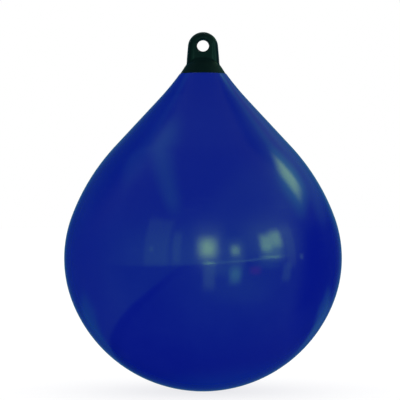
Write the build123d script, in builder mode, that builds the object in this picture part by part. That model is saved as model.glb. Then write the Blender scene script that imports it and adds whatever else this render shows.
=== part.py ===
from build123d import *
import os
from math import asin, cos, degrees, radians, sin, tan

# An inflatable teardrop buoy: a blown float with a solid rope eye cast into its mouth
# and an air valve in the back of the eye's collar.
# The origin is the centre of the eye's hole, which runs along Y, and +Z is up.
# All lengths are in millimetres and all angles in degrees.

# Float: a soft skin of even wall, turned about Z
body_diameter = 691.0  # across the belly
belly_radius = 299.5  # of the outline through the widest ring
bottom_angle = 21.0  # the belly's arc starts this far below the widest ring
belly_angle = 20.3  # and ends this far above it
shoulder_radius = 525.0  # of the outline between the belly and the cone
cone_angle = 42.9  # of the straight cone, from the vertical
neck_radius = 690.0  # of the hollow curve above the cone
neck_turn = 6.8  # that curve steepens by this much on its way to the mouth
mouth_diameter = 116.2  # outside of the mouth, on which the collar sits
wall = 2.8
lip_round = 1.0  # of the mouth's outer edge

# Rope eye: a thick lug on a round collar, with a skirt that lines the mouth
hole_diameter = 30.0
hole_round = 4.0
lug_width = 74.5  # across the arch
arch_drop = 3.1  # from the hole's centre down to the arch's
lug_thickness = 42.0
lug_draft = 5.0  # of each side, which spread downwards
lug_round = 15.5  # of the edges round the lug's two faces
root_round = 8.0  # of the corner between the lug and the collar
mouth_drop = 69.7  # from the hole's centre down to the mouth
collar_height = 17.9
collar_angle = 33.0  # of the collar's side, from the vertical
collar_step = 1.1  # the float's lip stands proud of the collar by this much
plug_depth = 4.0  # the solid plug reaches this far below the mouth
skirt_depth = 32.0
skirt_wall = 4.0
bond_gap = 0.2  # glue line between the skirt and the float

# Air valve: a flanged bush in the back of the collar, closed by a screw
valve_drop = 10.2  # from the collar's top edge down its slope to the valve's centre
flange_diameter = 16.5
flange_thickness = 3.0
flange_sink = 0.4  # the flange lies this far below the collar's slope
flange_bevel = 0.6
barrel_diameter = 12.0
barrel_length = 27.0
bush_clearance = 0.15  # round the flange and the barrel
screw_diameter = 6.0
screw_length = 16.0
screw_clearance = 0.1
head_diameter = 11.0
head_thickness = 2.0
head_clearance = 0.3
slot_width = 1.6
slot_depth = 1.1


def sine(angle):
    return sin(radians(angle))


def cosine(angle):
    return cos(radians(angle))


def tangent(angle):
    return tan(radians(angle))


# Float's outline: its arcs and its cone run into each other without a corner
mouth_radius = mouth_diameter / 2
mouth_z = -mouth_drop
mouth_angle = cone_angle - neck_turn
belly_centre = body_diameter / 2 - belly_radius
bottom_radius = belly_radius + belly_centre / cosine(bottom_angle)
cone_foot = (
    belly_centre
    + belly_radius * cosine(belly_angle)
    - shoulder_radius * (cosine(belly_angle) - cosine(cone_angle))
)
cone_top = mouth_radius + neck_radius * (cosine(mouth_angle) - cosine(cone_angle))
cone_length = (cone_foot - cone_top) / sine(cone_angle)
neck_centre = mouth_radius + neck_radius * cosine(mouth_angle)
float_height = (
    bottom_radius * (1 - sine(bottom_angle))
    + belly_radius * (sine(bottom_angle) + sine(belly_angle))
    + shoulder_radius * (sine(cone_angle) - sine(belly_angle))
    + cone_length * cosine(cone_angle)
    + neck_radius * (sine(cone_angle) - sine(mouth_angle))
)
foot_z = mouth_z - float_height


def neck_angle(inset, depth=0.0):
    """Slope of the neck, from the vertical, inset from the skin and depth below the mouth."""
    return degrees(asin((neck_radius * sine(mouth_angle) + depth) / (neck_radius + inset)))


def neck_point(inset, depth):
    """The point of the neck's curve that lies inset from the skin and depth below the mouth."""
    radius = neck_centre - (neck_radius + inset) * cosine(neck_angle(inset, depth))
    return (radius, mouth_z - depth)


def float_outline(inset):
    """Draws half the float's outline, inset from the skin, and returns its lowest and highest points."""
    bottom = JernArc((0, foot_z + inset), (1, 0), bottom_radius - inset, 90 - bottom_angle)
    belly = JernArc(bottom @ 1, bottom % 1, belly_radius - inset, bottom_angle + belly_angle)
    shoulder = JernArc(belly @ 1, belly % 1, shoulder_radius - inset, cone_angle - belly_angle)
    cone = Line(shoulder @ 1, shoulder @ 1 + shoulder % 1 * cone_length)
    neck = JernArc(cone @ 1, cone % 1, neck_radius + inset, neck_angle(inset) - cone_angle)
    return bottom @ 0, neck @ 1


with BuildPart() as float_shell:
    with BuildSketch(Plane.XZ):
        with BuildLine():
            outer_foot, outer_lip = float_outline(0.0)
            inner_foot, inner_lip = float_outline(wall)
            Line(outer_lip, inner_lip)
            Line(outer_foot, inner_foot)
        make_face()
    revolve(axis=Axis.Z)
    lip_edges = float_shell.edges().filter_by(GeomType.CIRCLE).group_by(Axis.Z)[-1]
    fillet(lip_edges.sort_by(SortBy.RADIUS)[-1], lip_round)

# Lug: an arch round the hole on two spreading sides, down to the mouth
lug_radius = lug_width / 2
lug_foot = lug_radius / cosine(lug_draft) + (mouth_drop - arch_drop) * tangent(lug_draft)

with BuildPart() as lug:
    with BuildSketch(Plane.XZ):
        with BuildLine():
            arch = CenterArc((0, -arch_drop), lug_radius, lug_draft, 180 - 2 * lug_draft)
            Polyline(arch @ 1, (-lug_foot, mouth_z), (lug_foot, mouth_z), arch @ 0)
        make_face()
    extrude(amount=lug_thickness / 2, both=True)
    face_edges = lug.faces().filter_by(Axis.Y).edges()
    fillet(face_edges.group_by(Axis.Z)[1:], min(lug_round, 0.45 * lug_thickness))
    with Locations(Plane.XZ):
        Hole(hole_diameter / 2)
    hole_edges = lug.faces().filter_by(Axis.Y).edges().filter_by(GeomType.CIRCLE)
    fillet(hole_edges.group_by(SortBy.RADIUS)[0], hole_round)

# Collar: a cone under a round dome, whose skirt follows the inside of the neck
collar_foot = (mouth_radius - collar_step, mouth_z)
collar_top = (collar_foot[0] - collar_height * tangent(collar_angle), mouth_z + collar_height)
dome_radius = collar_top[0] / cosine(collar_angle)
dome_z = collar_top[1] - dome_radius * sine(collar_angle)
skirt_inset = wall + bond_gap
hollow_inset = skirt_inset + skirt_wall

# Valve's place: on the collar's slope at the back, square to it
valve_radius = collar_top[0] + valve_drop * sine(collar_angle)
valve_z = collar_top[1] - valve_drop * cosine(collar_angle)
valve_plane = Plane(
    origin=(0, valve_radius, valve_z),
    x_dir=(1, 0, 0),
    z_dir=(0, cosine(collar_angle), sine(collar_angle)),
)
valve_axis = Axis(valve_plane.origin, valve_plane.z_dir)
flange_top = valve_plane.offset(-flange_sink)
seat = flange_top.offset(-flange_thickness)

with BuildPart() as rope_eye:
    with BuildSketch(Plane.XZ):
        with BuildLine():
            dome = CenterArc((0, dome_z), dome_radius, collar_angle, 90 - collar_angle)
            lining_depths = (0.0, skirt_depth / 2, skirt_depth)
            lining = ThreePointArc(*[neck_point(skirt_inset, depth) for depth in lining_depths])
            Polyline(collar_top, collar_foot, lining @ 0)
            Polyline(
                lining @ 1,
                neck_point(hollow_inset, skirt_depth),
                neck_point(hollow_inset, plug_depth),
                (0, mouth_z - plug_depth),
                dome @ 1,
            )
        make_face()
    revolve(axis=Axis.Z)
    add(lug.part)
    fillet(rope_eye.edges(Select.NEW), root_round)
    with Locations(valve_plane):
        CounterBoreHole(
            radius=barrel_diameter / 2 + bush_clearance,
            counter_bore_radius=flange_diameter / 2 + bush_clearance,
            counter_bore_depth=flange_sink + flange_thickness,
        )

with BuildPart() as valve_bush:
    with BuildSketch(seat):
        Circle(flange_diameter / 2)
    extrude(amount=flange_thickness)
    chamfer(valve_bush.edges().sort_by(valve_axis)[-1], flange_bevel)
    with BuildSketch(seat):
        Circle(barrel_diameter / 2)
    extrude(amount=-barrel_length)
    with Locations(flange_top):
        CounterBoreHole(
            radius=screw_diameter / 2 + screw_clearance,
            counter_bore_radius=head_diameter / 2 + head_clearance,
            counter_bore_depth=head_thickness,
        )

with BuildPart() as valve_screw:
    with BuildSketch(flange_top):
        Circle(head_diameter / 2)
    extrude(amount=-head_thickness)
    with BuildSketch(flange_top.offset(-head_thickness)):
        Circle(screw_diameter / 2)
    extrude(amount=-screw_length)
    with BuildSketch(flange_top):
        Rectangle(2 * head_diameter, slot_width)
    extrude(amount=-slot_depth, mode=Mode.SUBTRACT)

os.makedirs("parts", exist_ok=True)
pieces = {
    "float_shell": float_shell,
    "rope_eye": rope_eye,
    "valve_bush": valve_bush,
    "valve_screw": valve_screw,
}
for name, piece in pieces.items():
    piece.part.label = name
    export_step(piece.part, f"parts/{name}.step")
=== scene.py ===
import bpy
import numpy as np
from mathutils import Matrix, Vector


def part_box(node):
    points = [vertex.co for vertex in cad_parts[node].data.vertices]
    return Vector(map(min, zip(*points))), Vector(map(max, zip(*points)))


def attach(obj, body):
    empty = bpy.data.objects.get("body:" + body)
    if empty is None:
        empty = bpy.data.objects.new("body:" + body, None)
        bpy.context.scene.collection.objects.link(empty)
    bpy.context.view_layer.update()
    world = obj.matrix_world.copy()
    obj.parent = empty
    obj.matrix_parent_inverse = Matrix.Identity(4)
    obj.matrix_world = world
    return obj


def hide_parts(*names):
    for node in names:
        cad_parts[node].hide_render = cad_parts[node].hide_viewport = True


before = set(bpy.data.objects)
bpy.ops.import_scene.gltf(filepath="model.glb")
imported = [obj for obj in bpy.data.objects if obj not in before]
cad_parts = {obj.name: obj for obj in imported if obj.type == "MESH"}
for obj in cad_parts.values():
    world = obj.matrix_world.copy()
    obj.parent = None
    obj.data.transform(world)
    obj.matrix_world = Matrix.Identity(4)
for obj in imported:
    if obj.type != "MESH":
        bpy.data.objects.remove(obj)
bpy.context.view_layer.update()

# Float: a hollow teardrop of soft vinyl, cast in one piece in a turning mould and then blown up.
# It is deep blue and glossy, of even wall, and a little uneven where the hot skin drew in.
# Its open mouth is bonded round the rope eye.
foot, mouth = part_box("float_shell")
float_radius = 0.3455
belly_radius = 0.2995  # of the outline through the widest ring
bottom_angle = 21.0  # the belly's arc starts this far below the widest ring
belly_angle = 20.3  # and ends this far above it
shoulder_radius = 0.525
cone_angle = 42.9  # of the straight cone, from the vertical
neck_radius = 0.690
mouth_angle = 36.1  # of the neck at the mouth, from the vertical
skin_wall = 0.0028
lip_round = 0.001
outer_rows = (84, 56, 44, 24, 20)  # of the bottom, belly, shoulder, cone and neck
inner_rows = (24, 14, 10, 3, 8)
lip_rows = 7
skin_columns = 240

# Swells of the skin: waves round it, half waves up it, phase and height
swells = (
    (2, 1.0, 0.4, 0.00035),
    (3, 2.0, 1.9, 0.00022),
    (5, 3.0, 4.1, 0.00012),
)


def slope(degrees):
    """A direction by its angle: the cosine along the first axis and the sine along the second."""
    angle = np.radians(degrees)
    return np.stack([np.cos(angle), np.sin(angle)], axis=-1)


def teardrop(inset, depth, rows):
    """Half the float's outline, as points of radius and height, from the axis to depth below the mouth.

    Each arc is a centre plus a radius, less the inset, times slope(angle). The next centre lies on the
    last arc's end radius, so the arcs and the straight cone follow each other without a corner.
    """
    belly_centre = float_radius - belly_radius
    bottom_radius = belly_radius + belly_centre / slope(bottom_angle)[0]
    arcs = (
        (bottom_radius, -90.0, -bottom_angle, rows[0]),
        (belly_radius, -bottom_angle, belly_angle, rows[1]),
        (shoulder_radius, belly_angle, cone_angle, rows[2]),
    )
    centre = np.array([0.0, foot.z + bottom_radius])
    last_radius = bottom_radius
    stretches = []
    for radius, start, end, count in arcs:
        centre = centre + (last_radius - radius) * slope(start)
        turns = np.linspace(start, end, count, endpoint=False)
        stretches.append(centre + (radius - inset) * slope(turns))
        last_radius = radius
    normal = slope(cone_angle)
    cone_foot = centre + shoulder_radius * normal
    neck_rise = neck_radius * (normal[1] - slope(mouth_angle)[1])
    cone_length = (mouth.z - neck_rise - cone_foot[1]) / normal[0]
    cone_top = cone_foot + cone_length * np.array([-normal[1], normal[0]])
    along = np.linspace(0.0, 1.0, rows[3], endpoint=False)[:, None]
    stretches.append(cone_foot + along * (cone_top - cone_foot) - inset * normal)
    neck_centre = cone_top + neck_radius * normal
    end_sine = (neck_centre[1] - mouth.z + depth) / (neck_radius + inset)
    turns = np.linspace(cone_angle, np.degrees(np.arcsin(end_sine)), rows[4])
    stretches.append(neck_centre - (neck_radius + inset) * slope(turns))
    outline = np.concatenate(stretches)
    outline[0, 0] = 0.0
    return outline


def lip(start, count):
    """The mouth's rounded outer edge: an arc that turns from the neck's slope to facing straight up."""
    centre = start - lip_round * slope(mouth_angle)
    return centre + lip_round * slope(np.linspace(mouth_angle, 90.0, count)[1:])


def ringed(name, first, rings, last):
    """A closed mesh: squares between neighbouring rings and a fan of triangles to a point at each end."""
    points = np.concatenate([[first], rings.reshape(-1, 3), [last]])
    count, columns = rings.shape[:2]
    grid = 1 + np.arange(count * columns).reshape(count, columns)
    nearby = np.roll(grid, -1, axis=1)
    walls = np.stack([grid[:-1], nearby[:-1], nearby[1:], grid[1:]], axis=-1).reshape(-1, 4)
    under = np.stack([np.zeros_like(grid[0]), nearby[0], grid[0]], axis=-1)
    over = np.stack([np.full_like(grid[-1], len(points) - 1), grid[-1], nearby[-1]], axis=-1)
    mesh = bpy.data.meshes.new(name)
    mesh.from_pydata(points.tolist(), [], walls.tolist() + under.tolist() + over.tolist())
    mesh.polygons.foreach_set("use_smooth", np.ones(len(mesh.polygons), bool))
    mesh.validate()
    piece = bpy.data.objects.new(name, mesh)
    bpy.context.scene.collection.objects.link(piece)
    return piece


def turned(name, outline, columns):
    """The outline of radius r and height z turned about Z by the angle a: r cos a, r sin a, z.

    It is closed where the outline meets the axis. Every ring is swollen by a few slow waves round and
    along it, which die away at the axis and the mouth.
    """
    turn = np.linspace(0.0, 2.0 * np.pi, columns, endpoint=False)[None, :]
    radius, height = outline[1:-1, :1], outline[1:-1, 1:]
    share = (height - foot.z) / (mouth.z - foot.z)
    swell = sum(
        size * np.cos(around * turn + phase) * np.sin(np.pi * up * share + phase)
        for around, up, phase, size in swells
    )
    radius = radius + swell * np.sin(np.pi * np.clip(share, 0.0, 1.0)) ** 2
    rings = np.stack([radius * np.cos(turn), radius * np.sin(turn), height + 0.0 * turn], axis=-1)
    return ringed(name, (0.0, 0.0, outline[0, 1]), rings, (0.0, 0.0, outline[-1, 1]))


def dress(node, inputs):
    """Sets a node's sockets to values, or links them to tints."""
    for name, value in inputs.items():
        if isinstance(value, Tint):
            value.tree.links.new(value.socket, node.inputs[name])
        else:
            node.inputs[name].default_value = value


class Tint:
    """An output of a node. Sums, differences and products of tints and numbers add Math nodes."""

    def __init__(self, tree, socket=None):
        self.tree = tree
        self.socket = socket

    def node(self, kind, settings, inputs, output=0):
        """Adds a node of that kind, sets its settings and then its sockets, and gives one output."""
        made = self.tree.nodes.new(kind)
        for name, value in settings.items():
            setattr(made, name, value)
        dress(made, inputs)
        return Tint(self.tree, made.outputs[output])

    def math(self, operation, first, second):
        """One Math node on two tints or numbers."""
        return self.node("ShaderNodeMath", {"operation": operation}, {0: first, 1: second})

    def __add__(self, other):
        return self.math("ADD", self, other)

    def __radd__(self, other):
        return self.math("ADD", other, self)

    def __sub__(self, other):
        return self.math("SUBTRACT", self, other)

    def __rsub__(self, other):
        return self.math("SUBTRACT", other, self)

    def __mul__(self, other):
        return self.math("MULTIPLY", self, other)

    def __rmul__(self, other):
        return self.math("MULTIPLY", other, self)

    def size(self):
        """How far this number is from 0."""
        return self.math("ABSOLUTE", self, 0.0)

    def along(self, direction):
        """How far this vector reaches along a direction."""
        settings = {"operation": "DOT_PRODUCT"}
        return self.node("ShaderNodeVectorMath", settings, {0: self, 1: tuple(direction)}, "Value")

    def between(self, low, high):
        """0 below low, 1 above high, and smooth in between."""
        settings = {"interpolation_type": "SMOOTHSTEP"}
        ends = {"Value": self, "From Min": low, "From Max": high}
        return self.node("ShaderNodeMapRange", settings, ends)

    def mix(self, pale, deep):
        """The colour pale where this is 0 and deep where it is 1."""
        settings = {"data_type": "RGBA"}
        return self.node("ShaderNodeMix", settings, {0: self, 6: pale, 7: deep}, 2)

    def lit(self, colour, glow):
        """The colour with the light glow added where this is 1."""
        settings = {"data_type": "RGBA", "blend_type": "ADD"}
        return self.node("ShaderNodeMix", settings, {0: self, 6: colour, 7: glow}, 2)

    def noise(self, scale, detail, stretch=(1.0, 1.0, 1.0)):
        """Cloudy noise of about so many clouds a metre, read at this place times stretch."""
        placed = self.node("ShaderNodeMapping", {}, {"Vector": self, "Scale": stretch})
        return self.node("ShaderNodeTexNoise", {}, {"Vector": placed, "Scale": scale, "Detail": detail})

    def clouds(self, scale, detail, low, high, **stretch):
        """That noise, 0 where it is below low and 1 where it is above high."""
        return self.noise(scale, detail, **stretch).between(low, high)


def plain_finish(name):
    """A new material, its Principled shader, and the piece's own coordinates as a tint."""
    material = bpy.data.materials.new(name)
    material.use_nodes = True
    tree = material.node_tree
    shader = tree.nodes["Principled BSDF"]
    place = Tint(tree).node("ShaderNodeTexCoord", {}, {}, "Object")
    return material, shader, place


vinyl_blue = (0.0012, 0.0058, 0.2290, 1.0)
vinyl_cloud = (0.0018, 0.0078, 0.2350, 1.0)
vinyl_scuff = (0.0042, 0.0145, 0.2430, 1.0)
vinyl_gleam = (0.48, 1.0, 0.07, 1.0)  # tint of what the gloss mirrors
vinyl_index = 1.50  # of refraction
skin_rough = 0.075
cloud_rough = 0.025  # more where the colour is cloudy
scuff_rough = 0.080  # and where it is scuffed
scuff_share = 0.5
peel_share = 0.25  # of the fine peel beside the drawn skin
skin_bump = {"Strength": 0.10, "Distance": 0.0012}

# Noise of the skin: clouds a metre, detail, and for those that mask a colour, their low and high ends
skin_clouds = (7.0, 3.0, 0.35, 0.70)
skin_streaks = (9.0, 4.0, 0.55, 0.80)
streak_stretch = (1.0, 1.0, 6.0)
skin_patches = (3.5, 2.0, 0.45, 0.65)
skin_peel = (260.0, 2.0)
skin_drawn = (16.0, 2.0)


def vinyl_finish():
    """Glossy vinyl: faint clouds in the colour, rubbed streaks in patches, and a fine orange peel."""
    material, shader, place = plain_finish("blue_vinyl")
    clouds = place.clouds(*skin_clouds)
    streaks = place.clouds(*skin_streaks, stretch=streak_stretch)
    patches = place.clouds(*skin_patches)
    scuffs = streaks * patches
    uneven = place.noise(*skin_peel) * peel_share + place.noise(*skin_drawn)
    dress(shader, {
        "Base Color": (scuffs * scuff_share).mix(clouds.mix(vinyl_blue, vinyl_cloud), vinyl_scuff),
        "Roughness": skin_rough + clouds * cloud_rough + scuffs * scuff_rough,
        "Normal": place.node("ShaderNodeBump", {}, {"Height": uneven, **skin_bump}),
        "IOR": vinyl_index,
        "Specular Tint": vinyl_gleam,
    })
    return material


outer_end = lip_round * (1.0 - slope(mouth_angle)[1])
outside = teardrop(0.0, outer_end, outer_rows)
inside = teardrop(skin_wall, 0.0, inner_rows)
float_skin = turned(
    "float_skin",
    np.concatenate([outside, lip(outside[-1], lip_rows), inside[::-1]]),
    skin_columns,
)
float_skin.data.materials.append(vinyl_finish())
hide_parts("float_shell")
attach(float_skin, "root")

# Rope eye: a solid green-black vinyl casting, with a thick lug and hole on a domed collar.
# It was cast in two mould halves that met across the lug, then bonded into the float's mouth.
eye_black = (0.0004, 0.0016, 0.0022, 1.0)
eye_cloud = (0.0008, 0.0028, 0.0032, 1.0)
eye_rubbed = (0.0030, 0.0090, 0.0085, 1.0)
# Painted light: a pale teal for the lug's rim, standing in for the light its edges mirror
eye_rim_painted_light = (0.0035, 0.0200, 0.0180, 1.0)
eye_gleam = (0.28, 1.0, 0.75, 1.0)  # tint of what the satin mirrors
eye_mirror = 0.18  # how strongly it does
eye_bloom = 0.06  # of the powdery film on old vinyl
bloom_rough = 0.35
bloom_teal = (0.10, 0.75, 0.65, 1.0)
eye_rough = 0.58
eye_cloud_rough = 0.05  # more where the colour is cloudy
rub_smooth = 0.08  # less where a rope rubs
edge_smooth = 0.26  # and on the lug's rounded edges
rub_share = 0.6
eye_bump = {"Strength": 0.12, "Distance": 0.0006}
eye_clouds = (45.0, 3.0, 0.35, 0.70)
eye_rubs = (120.0, 4.0, 0.40, 0.65)
eye_grain = (900.0, 3.0)
side_axis, hole_axis, up_axis = np.eye(3)
hole_radius = 0.015
rope_reach = 0.009  # of the rubbed ring round the hole
lug_root = (-0.050, -0.042)  # the lug's smoother edges and the painted light on its rim start between these heights
flat_half = 0.0205  # of the lug's flat face, from the middle to the side
edge_start = 0.0035  # beside it, the smoother edge starts over this width
rim_reach = (0.007, 0.018)  # the painted teal light on the lug's rim fades between these, from the lug's middle plane
lug_radius = 0.03725
arch_drop = 0.0031  # from the hole's centre down to the arch's
lug_draft = 5.0
side_length = 0.040  # of the moulding line down each side
ridge_half = 0.0007
ridge_height = 0.0004
ridge_fade = 0.010  # at each end of the line
arch_rows = 97
side_rows = 24
ridge_columns = 12


def eye_finish():
    """Satin vinyl: faint clouds, a fine grain, smoother edges, a rubbed ring where a rope bears, and
    painted teal light on the lug's rim.
    """
    material, shader, place = plain_finish("black_vinyl")
    clouds = place.clouds(*eye_clouds)
    off_axis = {0: place, 1: tuple(side_axis + up_axis)}
    radial = place.node("ShaderNodeVectorMath", {"operation": "MULTIPLY"}, off_axis)
    distance = place.node("ShaderNodeVectorMath", {"operation": "LENGTH"}, {0: radial}, "Value")
    near_hole = 1.0 - distance.between(hole_radius, hole_radius + rope_reach)
    rubbed = near_hole * place.clouds(*eye_rubs)
    on_lug = place.along(up_axis).between(*lug_root)
    from_middle = place.along(side_axis).size()
    handled = on_lug * from_middle.between(flat_half, flat_half + edge_start)
    from_rim = place.along(hole_axis).size()
    # Painted light: the lug's rim near its middle plane is made pale teal, in place of the reflection at
    # its edges
    rim_painted_light = on_lug * (1.0 - from_rim.between(*rim_reach))
    cast = (rubbed * rub_share).mix(clouds.mix(eye_black, eye_cloud), eye_rubbed)
    dress(shader, {
        "Base Color": rim_painted_light.mix(cast, eye_rim_painted_light),
        "Roughness": eye_rough + clouds * eye_cloud_rough - rubbed * rub_smooth - handled * edge_smooth,
        "Normal": place.node("ShaderNodeBump", {}, {"Height": place.noise(*eye_grain), **eye_bump}),
        "IOR": vinyl_index,
        "Specular IOR Level": eye_mirror,
        "Specular Tint": eye_gleam,
        "Sheen Weight": eye_bloom,
        "Sheen Roughness": bloom_rough,
        "Sheen Tint": bloom_teal,
    })
    return material


def refinish(node, material):
    """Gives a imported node's object one material in place of its own."""
    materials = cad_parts[node].data.materials
    materials.clear()
    materials.append(material)


def parting_line():
    """A low ridge along the lug's rim, in the plane between its two faces.

    The rim is the arch's centre plus its radius times slope(angle), and runs on straight down each side.
    Across it lies an ellipse, ridge_half each way along Y and ridge_height in and out, shrunk to 0 at
    the ends.
    """
    turns = np.linspace(lug_draft, 180.0 - lug_draft, arch_rows)
    side = np.ones(side_rows)
    angle = np.concatenate([lug_draft * side, turns, (180.0 - lug_draft) * side])
    down = np.linspace(0.0, side_length, side_rows + 1)[1:]
    drop = np.concatenate([down[::-1], 0.0 * turns, down])[:, None]
    outward = slope(angle)
    downward = np.stack([np.sign(90.0 - angle) * outward[:, 1], -np.abs(outward[:, 0])], axis=-1)
    rim = np.array([0.0, -arch_drop]) + lug_radius * outward + drop * downward
    fade = np.sqrt(np.clip((side_length - drop) / ridge_fade, 0.0, 1.0))
    around = np.linspace(0.0, 2.0 * np.pi, ridge_columns, endpoint=False)[None, :]
    height = ridge_height * fade * np.cos(around)
    rings = np.stack([
        rim[:, :1] + outward[:, :1] * height,
        ridge_half * fade * np.sin(around),
        rim[:, 1:] + outward[:, 1:] * height,
    ], axis=-1)
    first, last = [(rim[end, 0], 0.0, rim[end, 1]) for end in (0, -1)]
    return ringed("eye_parting_line", first, rings[1:-1], last)


black_vinyl = eye_finish()
refinish("rope_eye", black_vinyl)
eye_parting_line = parting_line()
eye_parting_line.data.materials.append(black_vinyl)
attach(eye_parting_line, "root")

# Air valve: a flanged bush of off-white nylon, pressed into the back of the collar.
# A slotted screw of the same nylon closes it.
nylon_pale = (0.60, 0.58, 0.52, 1.0)
nylon_aged = (0.46, 0.43, 0.35, 1.0)
nylon_rough = 0.38
aged_rough = 0.08  # more where it has yellowed
nylon_bump = {"Strength": 0.15, "Distance": 0.0003}
nylon_clouds = (160.0, 3.0, 0.35, 0.70)
nylon_grain = (1500.0, 2.0)


def nylon_finish():
    """Moulded nylon: yellowed clouds and a fine matt grain."""
    material, shader, place = plain_finish("valve_nylon")
    clouds = place.clouds(*nylon_clouds)
    dress(shader, {
        "Base Color": clouds.mix(nylon_pale, nylon_aged),
        "Roughness": nylon_rough + clouds * aged_rough,
        "Normal": place.node("ShaderNodeBump", {}, {"Height": place.noise(*nylon_grain), **nylon_bump}),
    })
    return material


valve_nylon = nylon_finish()
refinish("valve_bush", valve_nylon)
refinish("valve_screw", valve_nylon)

# Floor: a plain white table of lit acrylic under the float's lowest point.
# The glossy skin doesn't mirror it, so the blue stays deep.
floor_half = 30.0
floor_white = (0.25, 0.25, 0.25, 1.0)
floor_glow = (1.0, 1.0, 1.0, 1.0)
floor_strength = 0.8


def level_sheet(name, left, right, front, back, level):
    """One flat face at one height, from left to right along X and from front to back along Y."""
    corners = [(left, front, level), (right, front, level), (right, back, level), (left, back, level)]
    mesh = bpy.data.meshes.new(name)
    mesh.from_pydata(corners, [], [(0, 1, 2, 3)])
    sheet = bpy.data.objects.new(name, mesh)
    bpy.context.scene.collection.objects.link(sheet)
    return sheet


floor = level_sheet("floor", -floor_half, floor_half, -floor_half, floor_half, foot.z)
floor_paint, floor_shader, _ = plain_finish("floor_paint")
dress(floor_shader, {
    "Base Color": floor_white,
    "Roughness": 1.0,
    "Specular IOR Level": 0.0,
    "Emission Color": floor_glow,
    "Emission Strength": floor_strength,
})
floor.data.materials.append(floor_paint)
floor.visible_glossy = False

# Soft light: white walls and a white ceiling of even light, which stand on the floor's edges.
# The gloss doesn't mirror them, so they light every side alike and leave no marks.
wall_sides = {
    "front_wall": (0.0, -1.0, 0.0),
    "back_wall": (0.0, 1.0, 0.0),
    "left_wall": (-1.0, 0.0, 0.0),
    "right_wall": (1.0, 0.0, 0.0),
    "ceiling": (0.0, 0.0, 1.0),
}
wall_glow = 1.0


def soft_wall(name, side):
    """A square area light, as wide as the floor, on that side of a cube over it, facing the middle."""
    outward = Vector(side)
    light = bpy.data.lights.new(name, "AREA")
    light.size = 2.0 * floor_half
    light.energy = wall_glow * np.pi * light.size ** 2
    lamp = bpy.data.objects.new(name, light)
    lamp.location = Vector((0.0, 0.0, foot.z + floor_half)) + outward * floor_half
    lamp.rotation_euler = (-outward).to_track_quat("-Z", "Y").to_euler()
    lamp.visible_camera = False
    lamp.visible_glossy = False
    bpy.context.scene.collection.objects.link(lamp)


for name, side in wall_sides.items():
    soft_wall(name, side)

# Reflector: a lit white card, hung level over the float's left shoulder.
# It hangs near, so that its one soft patch lies on the cone and the shoulder, and not on the neck.
# Only the gloss sees it: it lights and shades nothing, and the camera looks through it.
card_level = 0.300  # above the hole's centre
card_turn = -3.4  # across the lit strip, in plan, from X
card_middle = -0.389  # of the strip, along that direction
card_half = 0.200
card_front = (-1.20, -0.75)  # it fades in between these, from the front
card_slant = 48.0  # towards the back edge, in plan, from X
card_back = (-0.29, -0.20)  # it fades out between these, along that direction
card_bend = -0.345  # from here on, along it, the strip leans to the right
card_lean = 0.9
card_black = (0.0, 0.0, 0.0, 1.0)
card_glow = (0.29, 0.57, 0.58, 1.0)


def card_finish():
    """Lit card: it fades to clear at both sides, at the front and at a back edge cut aslant."""
    material, shader, place = plain_finish("reflector_card")
    backwards = place.along((*slope(card_slant), 0.0))
    middle = card_middle + card_lean * place.math("MAXIMUM", backwards - card_bend, 0.0)
    across = (place.along((*slope(card_turn), 0.0)) - middle).size()
    shown = (1.0 - across.between(0.0, card_half)) * (1.0 - backwards.between(*card_back))
    dress(shader, {
        "Base Color": card_black,
        "Specular IOR Level": 0.0,
        "Emission Color": card_glow,
        "Emission Strength": 1.0,
        "Alpha": shown * place.along(hole_axis).between(*card_front),
    })
    return material


reflector = level_sheet(
    "reflector",
    card_middle - 2.0 * card_half,
    card_middle + 2.0 * card_half,
    card_front[0],
    card_half,
    card_level,
)
reflector.data.materials.append(card_finish())
reflector.visible_camera = False
reflector.visible_diffuse = False
reflector.visible_shadow = False

# Room: what the gloss mirrors, a dim room with soft windows, lit most behind the camera.
# It lights nothing by itself, and the camera sees plain white in its place.
# Each bearing is an azimuth, from the camera's side round to the right, and an elevation, in degrees.
plain_white = (1.0, 1.0, 1.0, 1.0)
wall_azimuth = -5.0  # the walls are lit most here
wall_lit = (0.36, 0.60, 0.55, 1.0)
wall_dim = (0.01, 0.05, 0.15, 1.0)
apron_share = 0.32  # most light on the low wall at the left
ground_azimuth = 35.0  # the ground is lit most here
ground_lit = (0.17, 0.27, 0.34, 1.0)
ground_dim = (0.00, 0.01, 0.15, 1.0)
ceiling_grey = (0.15, 0.20, 0.21, 1.0)
ceiling_reach = (0.15, 0.80)  # the walls turn to ceiling between these sines of elevation
front_skirting = (-48.6, -5.2)  # bearings of the nearest points of two straight edges
left_skirting = (-102.0, -39.0)
skirting_soft = 0.012
line_half = 0.0168  # of the bright line on the front skirting
line_bearing = (35.0, 0.0)
line_reach = (0.72, 0.95)  # the line fades in between these cosines from its bearing
skirting_line = (0.90, 1.20, 1.05, 1.0)
gap_depth = 0.05  # the dark gap's middle lies this far below the left skirting
gap_reach = (0.02, 0.08)
gap_dark = (0.00, 0.01, 0.02, 1.0)

# Dark corners: bearing, the cosines from it between which each fades in, and colour
dark_corners = {
    "right": ((120.0, -8.0), (0.78, 0.95), (0.01, 0.03, 0.16, 1.0)),
    "upper left": ((-142.0, 38.0), (0.80, 0.98), (0.02, 0.08, 0.14, 1.0)),
    "upper right": ((128.0, 49.0), (0.955, 0.995), (0.05, 0.12, 0.14, 1.0)),
}

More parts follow.
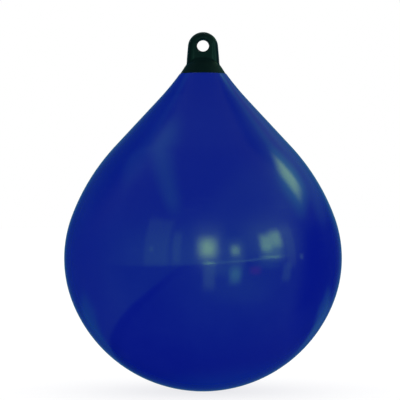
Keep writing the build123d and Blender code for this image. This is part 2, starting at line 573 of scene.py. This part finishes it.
# Windows and other pale things: bearing, width and height in degrees, softness, and the light added
windows = {
    "middle window": ((3.8, 11.2), (11.8, 15.3), 0.90, (5.9, 5.5, 4.9, 1.0)),
    "middle window's glow": ((5.5, 13.0), (20.0, 34.0), 0.80, (0.6, 0.6, 0.6, 1.0)),
    "small window": ((26.3, 8.6), (6.2, 7.5), 0.90, (2.9, 2.9, 2.85, 1.0)),
    "small window's glow": ((27.0, 7.0), (12.0, 20.0), 0.70, (0.6, 0.7, 0.7, 1.0)),
    "double window's left": ((53.5, 14.2), (9.0, 12.0), 0.70, (3.4, 3.6, 3.4, 1.0)),
    "double window's right": ((63.5, 16.6), (10.0, 11.5), 0.70, (3.4, 3.7, 3.4, 1.0)),
    "double window's foot": ((58.5, 6.0), (18.0, 11.0), 0.70, (1.0, 1.3, 1.25, 1.0)),
    "double window's glow": ((60.0, 19.0), (40.0, 28.0), 0.80, (0.5, 0.60, 0.60, 1.0)),
    "right door": ((77.0, 10.0), (9.0, 30.0), 0.25, (0.25, 0.3, 0.3, 1.0)),
    "left door": ((-39.0, 16.0), (20.0, 40.0), 0.20, (0.22, 0.30, 0.30, 1.0)),
    "left door's post": ((-21.5, 11.0), (6.5, 28.0), 0.30, (0.28, 0.36, 0.36, 1.0)),
    "left ceiling": ((-111.0, 47.0), (22.0, 14.0), 0.60, (0.04, 0.13, 0.12, 1.0)),
    "high window": ((117.3, 36.1), (11.6, 11.8), 0.60, (1.75, 2.05, 0.6, 1.0)),
    "high window's frame": ((117.0, 34.8), (25.0, 14.5), 0.75, (0.16, 0.80, 0.35, 1.0)),
    "high window's glow": ((111.0, 39.0), (36.0, 19.0), 0.80, (0.10, 0.20, 0.05, 1.0)),
    "right wall": ((140.0, 23.5), (30.0, 18.0), 0.60, (0.05, 0.14, 0.12, 1.0)),
    "front ceiling": ((60.0, 48.0), (80.0, 24.0), 0.70, (0.09, 0.13, 0.13, 1.0)),
    "back wall": ((176.0, 3.0), (37.0, 48.0), 0.80, (0.04, 0.15, 0.12, 1.0)),
    "right ground": ((146.0, -17.0), (25.0, 9.5), 0.50, (0.03, 0.15, 0.11, 1.0)),
    "left ground": ((-138.0, -22.0), (28.0, 11.0), 0.60, (0.01, 0.10, 0.05, 1.0)),
    "back ground": ((170.0, -48.0), (27.0, 30.0), 0.80, (0.00, 0.04, 0.15, 1.0)),
    "middle sill": ((4.7, -2.9), (8.5, 1.4), 0.90, (4.2, 4.6, 4.2, 1.0)),
    "double sill": ((57.0, 2.4), (15.5, 1.4), 0.60, (1.5, 1.7, 1.6, 1.0)),
    "middle gleam on the ground": ((5.0, -14.0), (9.0, 24.0), 0.50, (0.50, 0.60, 0.60, 1.0)),
    "small gleam on the ground": ((26.5, -13.2), (8.0, 13.0), 0.90, (0.85, 1.55, 1.55, 1.0)),
    "wide gleam on the ground": ((20.0, -8.0), (26.0, 12.0), 0.80, (0.20, 0.35, 0.35, 1.0)),
    "double gleam on the ground": ((54.5, -3.0), (20.0, 8.0), 0.80, (0.20, 0.35, 0.35, 1.0)),
    "red spot": ((43.5, -9.0), (8.0, 6.0), 0.80, (0.80, 0.00, 0.30, 1.0)),
    "right spot": ((88.0, 1.5), (3.0, 3.0), 0.70, (0.6, 0.8, 0.8, 1.0)),
    "left spot": ((-43.0, 9.5), (3.0, 4.0), 0.70, (0.4, 0.5, 0.5, 1.0)),
    "right door's gleam": ((73.0, -9.5), (8.0, 13.0), 0.40, (0.28, 0.42, 0.42, 1.0)),
    "front ground": ((30.0, -25.0), (46.0, 24.0), 0.80, (0.12, 0.20, 0.20, 1.0)),
    "back roof light": ((172.0, 58.0), (22.0, 18.0), 0.40, (2.4, 2.4, 2.4, 1.0)),
    "small roof light": ((-160.0, 62.0), (16.0, 16.0), 0.40, (1.6, 1.6, 1.6, 1.0)),
}


def bearing(azimuth, elevation):
    """The direction so many degrees round to the right from the camera's side, and up."""
    turn, rise = np.radians([azimuth, elevation])
    return np.array([np.sin(turn) * np.cos(rise), -np.cos(turn) * np.cos(rise), np.sin(rise)])


def facing(ray, azimuth):
    """1 where the ray looks along that azimuth, a quarter square to it and 0 straight away from it."""
    half = ray.along(bearing(azimuth, 0.0)) * 0.5 + 0.5
    return half * half


def over_edge(ray, azimuth, elevation):
    """How far the ray passes over a straight level edge, whose nearest point has that bearing."""
    return ray.along(bearing(azimuth, elevation + 90.0))


def soft_window(ray, place, size, soft):
    """1 inside a window of that many degrees round its bearing, fading to 0 across its soft edges.

    It is the product of two fades, of the ray's reach sideways and of its reach upwards, in front only.
    """
    azimuth, elevation = place
    directions = (bearing(azimuth + 90.0, 0.0), bearing(azimuth, elevation + 90.0))
    inside = ray.along(bearing(azimuth, elevation)).between(0.0, soft)
    for direction, angle in zip(directions, size):
        half = np.sin(np.radians(angle / 2.0))
        reach = ray.along(direction).size()
        inside = inside * (1.0 - reach.between(half * (1.0 - soft), half * (1.0 + soft)))
    return inside


def mirrored_room():
    """The world's colour by the ray's direction: ground, walls and ceiling, and the windows on top."""
    world = bpy.data.worlds.new("room")
    bpy.context.scene.world = world
    world.use_nodes = True
    world.cycles_visibility.diffuse = False
    start = Tint(world.node_tree)
    ray = start.node("ShaderNodeTexCoord", {}, {}, "Generated")
    ahead = facing(ray, wall_azimuth)
    overhead = ray.along(up_axis).between(*ceiling_reach)
    wall = overhead.mix(ahead.mix(wall_dim, wall_lit), ceiling_grey)
    ground = facing(ray, ground_azimuth).mix(ground_dim, ground_lit)
    over_front = over_edge(ray, *front_skirting)
    over_left = over_edge(ray, *left_skirting)
    in_gap = 1.0 - (over_left + gap_depth).size().between(*gap_reach)
    ground = (ray.along(bearing(*left_skirting)) * in_gap).mix(ground, gap_dark)
    apron = ray.math("MINIMUM", ahead, apron_share).mix(wall_dim, wall_lit)
    low = over_left.between(-skirting_soft, skirting_soft).mix(ground, apron)
    room = over_front.between(-skirting_soft, skirting_soft).mix(low, wall)
    for place, reach, dark in dark_corners.values():
        room = ray.along(bearing(*place)).between(*reach).mix(room, dark)
    line = 1.0 - over_front.size().between(0.0, line_half)
    room = (line * ray.along(bearing(*line_bearing)).between(*line_reach)).lit(room, skirting_line)
    for place, size, soft, glow in windows.values():
        room = soft_window(ray, place, size, soft).lit(room, glow)
    seen = start.node("ShaderNodeLightPath", {}, {}, "Is Camera Ray")
    dress(world.node_tree.nodes["Background"], {"Color": seen.mix(room, plain_white)})


mirrored_room()

# Camera: level with the shoulder, in front of the lug's face and 7.5 mm left of the float's axis.
# Its frame is about one metre wide at that axis.
camera_distance = 5.5
frame_width = 0.9975
frame_centre = (-0.0075, -0.3842)

view = bpy.data.cameras.new("camera")
view.lens = view.sensor_width * camera_distance / frame_width
camera = bpy.data.objects.new("camera", view)
camera.location = (frame_centre[0], -camera_distance, frame_centre[1])
camera.rotation_euler = (np.pi / 2.0, 0.0, 0.0)
bpy.context.scene.collection.objects.link(camera)
bpy.context.scene.camera = camera
bpy.context.scene.view_settings.view_transform = "Standard"
